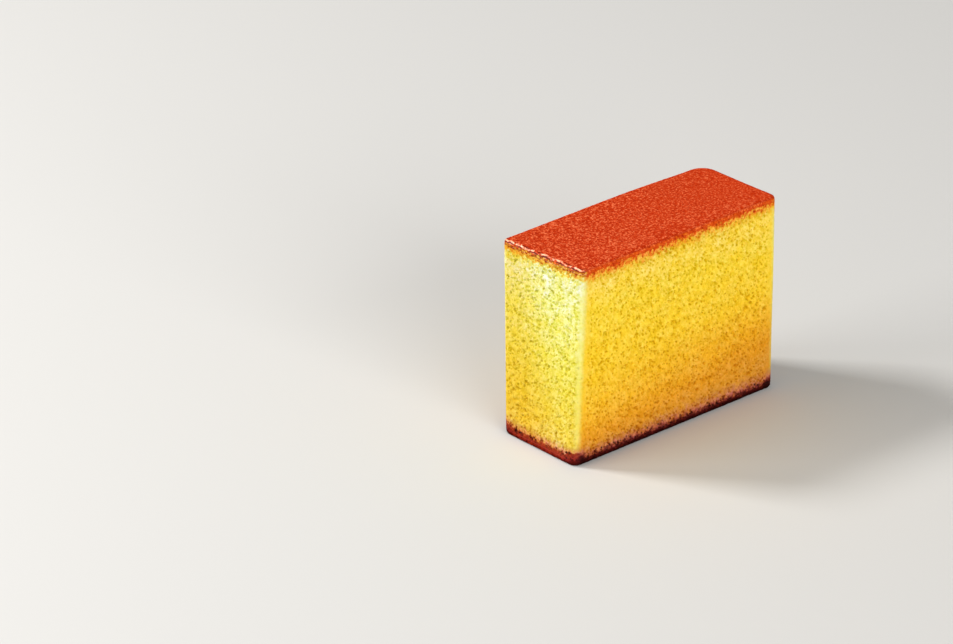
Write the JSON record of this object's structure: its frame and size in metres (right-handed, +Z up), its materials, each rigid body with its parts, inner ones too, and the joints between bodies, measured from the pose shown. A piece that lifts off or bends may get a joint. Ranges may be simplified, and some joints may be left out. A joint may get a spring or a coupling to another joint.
{
  "type": "castella sponge cake slice",
  "caption": "Upright block of golden honey sponge cake with a thin browned top, cut faces full of fine pores and a dark baked base.",
  "frame": {"origin": "middle of the flat underside, at the bottom centre of the slice's box", "axes": "+X along the long cut faces, +Y across the slice's thickness, +Z up"},
  "size_m": [0.074, 0.0296, 0.058],
  "materials": {
    "crumb": "matt, fine open pores, golden yellow, slightly deeper towards the base",
    "top_crust": "browned skin, fine suede grain, slightly glossy along the cut edge",
    "base_crust": "dark baked base, matt, ragged upper line"
  },
  "bodies": {
    "root": {"castella_slice": "crumb"}
  },
  "joints": []
}
